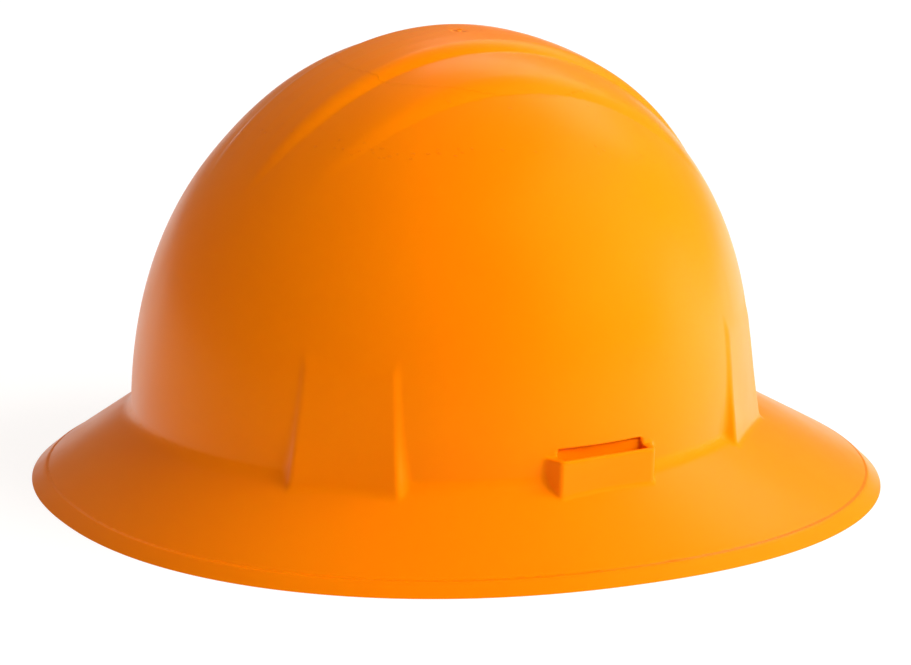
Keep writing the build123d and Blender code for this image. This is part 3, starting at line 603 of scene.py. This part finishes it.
        mesh.materials.append(self.finish.make())
        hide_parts("shell")
        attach(piece, "shell")
        log.info("hat_shell: %d points, %d faces", count, len(mesh.polygons))
        return piece


@dataclass
class CrownStrap:
    """One webbing strap over the crown, with both of its ends lapped and sewn."""

    name: str
    node: str
    crown: float
    side: Side
    width: float = 20.0
    thick: float = 1.2
    lap: float = 83.0
    plate: float = 94.47
    rise_power: float = 0.8

    def place(self, degrees: float, u: float, v: float, z: float, side: int) -> Vector:
        """A point in a boss's frame, in millimetres, on a side of the hat."""
        c, s, ox, oy, _reach = BossPlace(degrees).frame()
        return Vector(((ox + u * c - v * s) * side, oy + u * s + v * c, z))

    def end_path(self, degrees: float, side: int) -> tuple[list[Vector], Vector]:
        """The middle line of a strap's end, from its sewn tip round the bar, and its width direction."""
        t = self.thick
        inner = self.plate - 0.35 - t / 2
        outer = self.plate + 2.5 + 0.35 + t / 2
        low = 69.2 - 0.35 - t / 2
        corners = [(inner + t, self.lap - 0.3), (inner + t + 0.05, self.lap - 3.6), (outer, 75.0), (outer, low + 1.2),
                   (outer - 1.0, low), (inner + 1.0, low), (inner, low + 1.2), (inner, 76.0)]
        line = [self.place(degrees, u, 0.0, z, side) for u, z in corners]
        width = self.place(degrees, 0.0, 1.0, 0.0, side) - self.place(degrees, 0.0, 0.0, 0.0, side)
        return line, width.normalized()

    def line(self) -> tuple[Array, Array]:
        """The strap's middle points and width directions, from the front tip to the rear tip."""
        sign = self.side.value
        front, front_width = self.end_path(-37.5, sign)
        rear, rear_width = self.end_path(46.0, -sign)
        rear_width = -rear_width if rear_width.dot(front_width) < 0 else rear_width
        inner = self.plate - 0.35 - self.thick / 2
        start = self.place(-37.5, inner, 0.0, self.lap, sign)
        end = self.place(46.0, inner, 0.0, self.lap, -sign)
        middle, half = (start + end) / 2, (end - start) / 2
        points, widths = list(front), [front_width] * len(front)
        for k in range(41):
            u = math.sin(math.radians(-90 + 180 * k / 40))
            rise = (self.crown - self.lap) * max(0.0, 1 - u * u) ** self.rise_power
            points.append(middle + half * u + Vector((0, 0, rise)))
            widths.append(front_width.lerp(rear_width, (u + 1) / 2).normalized())
        points += reversed(rear)
        widths += [rear_width] * len(rear)
        return np.array([tuple(p) for p in points]), np.array([tuple(w) for w in widths])

    def even(self, points: Array, widths: Array, step: float) -> tuple[Array, Array, Array]:
        """Respaces the middle line evenly and rounds its corners a little."""
        run = np.concatenate([[0.0], np.cumsum(np.linalg.norm(np.diff(points, axis=0), axis=1))])
        count = int(run[-1] / step)
        here = np.linspace(0.0, run[-1], count)
        line = np.stack([np.interp(here, run, points[:, k]) for k in range(3)], 1)
        wide = np.stack([np.interp(here, run, widths[:, k]) for k in range(3)], 1)
        for _ in range(6):
            line[1:-1] = 0.5 * line[1:-1] + 0.25 * (line[:-2] + line[2:])
        return line, wide, here

    def build(self, finish: bpy.types.Material) -> bpy.types.Object:
        """Sweeps the tape's section along its line."""
        points, widths = self.line()
        line, wide, here = self.even(points, widths, 0.7)
        along = np.gradient(line, axis=0)
        along /= np.linalg.norm(along, axis=1)[:, None]
        wide -= along * (wide * along).sum(1)[:, None]
        wide /= np.linalg.norm(wide, axis=1)[:, None]
        up = np.cross(along, wide)
        half, t = self.width / 2, self.thick / 2
        profile = [(-half, 0.0), (-half + 0.25, t * 0.8), (-half + 0.8, t), (-half + 1.6, t * 0.84)]
        profile += [(half * k / 5, t * (0.92 + 0.08 * (k % 2))) for k in range(-4, 5)]
        profile += [(half - 1.6, t * 0.84), (half - 0.8, t), (half - 0.25, t * 0.8), (half, 0.0)]
        profile += [(a, -b) for a, b in reversed(profile[1:-1])]
        ring = len(profile)
        verts, run, faces = [], [], []
        for k in range(len(line)):
            for a, b in profile:
                verts.append((line[k] + wide[k] * a + up[k] * b) * MM)
                run.append((here[k] * MM, a * MM, 0.0))
        for k in range(len(line) - 1):
            for j in range(ring):
                i = (j + 1) % ring
                faces.append((k * ring + j, k * ring + i, (k + 1) * ring + i, (k + 1) * ring + j))
        faces.append(tuple(reversed(range(ring))))
        faces.append(tuple((len(line) - 1) * ring + j for j in range(ring)))
        mesh = mesh_from(self.name, verts, faces)
        mesh.attributes.new("run", "FLOAT_VECTOR", "POINT").data.foreach_set("vector", np.array(run).ravel())
        mesh.materials.append(finish)
        piece = new_object(self.name, mesh)
        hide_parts(self.node)
        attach(piece, "shell")
        log.info("%s: %d points", self.name, len(verts))
        return piece


@dataclass
class SweatPad:
    """A foam pad bent to an arc, crowned between its sewn channels and thinned to its rim."""

    name: str
    node: str
    body: str
    radius: float
    centre: tuple[float, float]
    mid_degrees: float
    reach_degrees: float
    half_height: float
    level: float
    thick: float = 5.0
    tilt_degrees: float = 0.0
    pivot: tuple[float, float, float] = (0.0, 2.0, 44.0)
    channels: int = 5

    def build(self, finish: bpy.types.Material) -> bpy.types.Object:
        """Builds the pad's closed form with its crown and its sewn channels."""
        length = math.radians(2 * self.reach_degrees) * (self.radius - self.thick / 2)
        across, around, deep = int(self.half_height * 2 / 1.1), int(length / 1.4), 4
        body = bmesh.new()
        grid: dict[tuple[int, int, int], bmesh.types.BMVert] = {}

        def point(i: int, j: int, k: int) -> bmesh.types.BMVert:
            """The grid's vertex, made once: i around, j up and k through the pad."""
            if (i, j, k) not in grid:
                s, v, d = 2 * i / around - 1, 2 * j / across - 1, 2 * k / deep - 1
                ends = min(1.0, (1 - abs(s)) * length / 2 / 5.0) ** 0.5
                edge = ends * min(1.0, (1 - abs(v)) * self.half_height / 4.5) ** 0.5
                crown = 0.30 + 0.70 * edge
                seam = abs(math.sin(math.pi * self.channels * (s + 1) / 2))
                crown *= 0.80 + 0.20 * min(1.0, seam * 3.0)
                depth = self.radius - self.thick / 2 + d * (self.thick / 2 - 0.35) * crown
                corner = 1 - 0.018 * (v * v * s ** 8)
                turn = math.radians(self.mid_degrees + s * self.reach_degrees * corner)
                x = self.centre[0] + depth * math.cos(turn)
                y = self.centre[1] + depth * math.sin(turn)
                high = v * (self.half_height - 0.3) * (1 - 0.10 * abs(s) ** 10)
                grid[(i, j, k)] = body.verts.new(Vector((x, y, self.level + high)) * MM)
            return grid[(i, j, k)]

        for i in range(around):
            for j in range(across):
                for k in (0, deep):
                    body.faces.new([point(i, j, k), point(i + 1, j, k),
                                    point(i + 1, j + 1, k), point(i, j + 1, k)])
        for i in range(around):
            for k in range(deep):
                for j in (0, across):
                    body.faces.new([point(i, j, k), point(i + 1, j, k),
                                    point(i + 1, j, k + 1), point(i, j, k + 1)])
        for j in range(across):
            for k in range(deep):
                for i in (0, around):
                    body.faces.new([point(i, j, k), point(i, j + 1, k),
                                    point(i, j + 1, k + 1), point(i, j, k + 1)])
        bmesh.ops.recalc_face_normals(body, faces=body.faces)
        mesh = bpy.data.meshes.new(self.name)
        body.to_mesh(mesh)
        body.free()
        mesh.polygons.foreach_set("use_smooth", [True] * len(mesh.polygons))
        if self.tilt_degrees:
            pivot = Vector(self.pivot) * MM
            turn = Matrix.Rotation(math.radians(-self.tilt_degrees), 4, "X")
            mesh.transform(Matrix.Translation(pivot) @ turn)
        mesh.materials.append(finish)
        piece = new_object(self.name, mesh)
        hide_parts(self.node)
        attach(piece, self.body)
        log.info("%s: %d points", self.name, len(mesh.vertices))
        return piece


@dataclass
class Suspension:
    """The keys, headband and ratchet: nodes that keep their shape and get a finish."""

    def dress(self) -> None:
        """Gives every remaining node its material."""
        key = MouldedPlastic("key_plastic", (0.018, 0.018, 0.020), (0.060, 0.060, 0.062), 0.42)
        band = MouldedPlastic("band_plastic", (0.024, 0.024, 0.026), (0.066, 0.066, 0.070), 0.50)
        case = MouldedPlastic("ratchet_plastic", (0.020, 0.020, 0.023), (0.055, 0.055, 0.058), 0.55, 0.00004)
        knob = MouldedPlastic("knob_plastic", (0.012, 0.012, 0.013), (0.050, 0.050, 0.052), 0.38)
        gear = MouldedPlastic("gear_plastic", (0.62, 0.60, 0.54), (0.70, 0.69, 0.64), 0.45)
        groups = {
            key: ("front_left_key", "front_right_key", "rear_left_key", "rear_right_key", "left_swing_stud",
                  "right_swing_stud"),
            band: ("headband", "left_rack_strap", "right_rack_strap"),
            case: ("ratchet_housing", "ratchet_cover"),
            knob: ("ratchet_knob",),
            gear: ("drive_gear",),
            PlatedSteel(): ("cover_screws", "click_spring", "knob_screw"),
        }
        for finish, names in groups.items():
            material = finish.make()
            for name in names:
                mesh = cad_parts[name].data
                mesh.materials.clear()
                mesh.materials.append(material)
                log.info("%s: %s", name, material.name)


@dataclass
class Studio:
    """The pale floor, the soft lights and the camera at the photograph's angle."""

    azimuth: float = 61.808
    elevation: float = 15.539
    distance: float = 1.6
    focal: float = 4369.9
    image_width: float = 911.0
    offset: tuple[float, float] = (-0.000237, -0.024409)
    roll: float = 1.983
    aim: tuple[float, float, float] = (0.0, -0.00444, 0.080)

    def axes(self) -> tuple[Vector, Vector, Vector]:
        """The camera's right, up and back directions."""
        a, e = math.radians(self.azimuth), math.radians(self.elevation)
        back = Vector((math.sin(a) * math.cos(e), -math.cos(a) * math.cos(e), math.sin(e)))
        right = Vector((math.cos(a), math.sin(a), 0.0))
        up = back.cross(right)
        turn = math.radians(self.roll)
        c, s = math.cos(turn), math.sin(turn)
        return (right * c + up * s, up * c - right * s, back)

    def camera(self) -> None:
        """Places the camera."""
        right, up, back = self.axes()
        target = Vector(self.aim) + right * self.offset[0] + up * self.offset[1]
        data = bpy.data.cameras.new("camera")
        data.sensor_width = 36.0
        data.lens = self.focal * data.sensor_width / self.image_width
        data.clip_start, data.clip_end = 0.05, 50.0
        camera = bpy.data.objects.new("camera", data)
        turn = Matrix((right, up, back)).transposed()
        camera.matrix_world = Matrix.Translation(target + back * self.distance) @ turn.to_4x4()
        bpy.context.scene.collection.objects.link(camera)
        bpy.context.scene.camera = camera

    def floor(self) -> None:
        """A wide pale floor whose own colour makes the background white."""
        size = 6.0
        corners = [(-size, -size, 0), (size, -size, 0), (size, size, 0), (-size, size, 0)]
        mesh = mesh_from("floor", corners, [(0, 1, 2, 3)])
        n = Nodes("floor")
        n.set(Base_Color=(0.86, 0.86, 0.86, 1.0), Roughness=0.9)
        glow = n.add("ShaderNodeEmission", Color=(1.0, 1.0, 1.0, 1.0), Strength=1.17)
        path = n.add("ShaderNodeLightPath")
        seen = n.maths("MAXIMUM", path.outputs["Is Camera Ray"], path.outputs["Is Glossy Ray"])
        mix = n.add("ShaderNodeMixShader")
        n.join(n.maths("MULTIPLY", seen, 0.72), mix.inputs[0])
        n.join(n.shader.outputs[0], mix.inputs[1])
        n.join(glow.outputs[0], mix.inputs[2])
        n.join(mix.outputs[0], n.tree.nodes["Material Output"].inputs["Surface"])
        mesh.materials.append(n.material)
        new_object("floor", mesh)

    def world(self) -> None:
        """A soft even surround that the camera sees as white."""
        world = bpy.data.worlds.new("surround")
        world.use_nodes = True
        tree = world.node_tree
        base = tree.nodes["Background"]
        base.inputs["Color"].default_value = (1.0, 0.76, 0.54, 1.0)
        base.inputs["Strength"].default_value = 0.33
        white = tree.nodes.new("ShaderNodeBackground")
        white.inputs["Color"].default_value = (1.0, 1.0, 1.0, 1.0)
        path = tree.nodes.new("ShaderNodeLightPath")
        mix = tree.nodes.new("ShaderNodeMixShader")
        tree.links.new(path.outputs["Is Camera Ray"], mix.inputs[0])
        tree.links.new(base.outputs[0], mix.inputs[1])
        tree.links.new(white.outputs[0], mix.inputs[2])
        tree.links.new(mix.outputs[0], tree.nodes["World Output"].inputs["Surface"])
        bpy.context.scene.world = world

    def lamp(self, name: str, right: float, up: float, back: float, size: tuple[float, float], power: float,
             colour: Colour = (1.0, 1.0, 1.0), mirrored: bool = True) -> None:
        """A soft rectangular light placed in the camera's directions and aimed at the hat.

        Args:
            name: the light's name.
            right: its distance to the camera's right, in metres.
            up: its height along the camera's up direction.
            back: its distance towards the camera.
            size: its width and height.
            power: its power in watts.
            colour: its colour.
            mirrored: whether glossy surfaces show the light itself.
        """
        data = bpy.data.lights.new(name, "AREA")
        data.shape = "RECTANGLE"
        data.size, data.size_y = size
        data.energy = power
        data.color = colour
        light = bpy.data.objects.new(name, data)
        light.visible_glossy = mirrored
        axes = self.axes()
        place = Vector(self.aim) + axes[0] * right + axes[1] * up + axes[2] * back
        facing = (place - Vector(self.aim)).to_track_quat("Z", "Y")
        light.matrix_world = Matrix.Translation(place) @ facing.to_matrix().to_4x4()
        bpy.context.scene.collection.objects.link(light)

    def build(self) -> None:
        """Sets up the camera, floor, surround and lights."""
        self.camera()
        self.floor()
        self.world()
        self.lamp("key_light", 2.6, 1.4, 1.1, (3.0, 2.6), 150.0, mirrored=False)
        self.lamp("side_light", 1.7, 0.25, -0.35, (0.7, 0.5), 15.0, mirrored=False)
        self.lamp("top_light", 0.7, 1.7, -0.9, (2.0, 0.8), 6.5)
        self.lamp("left_light", -1.5, 0.7, 0.6, (0.8, 1.6), 3.4, (1.0, 0.8, 0.62), mirrored=False)
        bpy.context.scene.view_settings.view_transform = "Standard"


def main() -> None:
    """Builds the hat and its studio."""
    logging.basicConfig(level=logging.INFO, format="%(message)s")
    Studio().build()
    HatShell().build()
    webbing = Webbing().make()
    CrownStrap("upper_webbing", "upper_crown_strap", 131.0, Side.LEFT).build(webbing)
    CrownStrap("lower_webbing", "lower_crown_strap", 127.8, Side.RIGHT).build(webbing)
    cloth = PadCloth().make()
    brow = 79.5 - 42.0 * math.tan(math.radians(22.0)) - 1.6 - 0.3
    centre = (0.0, 2.0 - 42.0 / math.cos(math.radians(22.0)))
    SweatPad("brow_cushion", "brow_pad", "headband", brow, centre, -90.0, 66.0, 16.5, 49.0, channels=7).build(cloth)
    SweatPad("nape_cushion", "nape_pad", "nape", 78.7, (0.0, 0.0), 90.0, 25.0, 15.5, 0.0,
             tilt_degrees=13.0).build(cloth)
    Suspension().dress()
    bpy.context.view_layer.update()


if __name__ == "__main__":
    main()
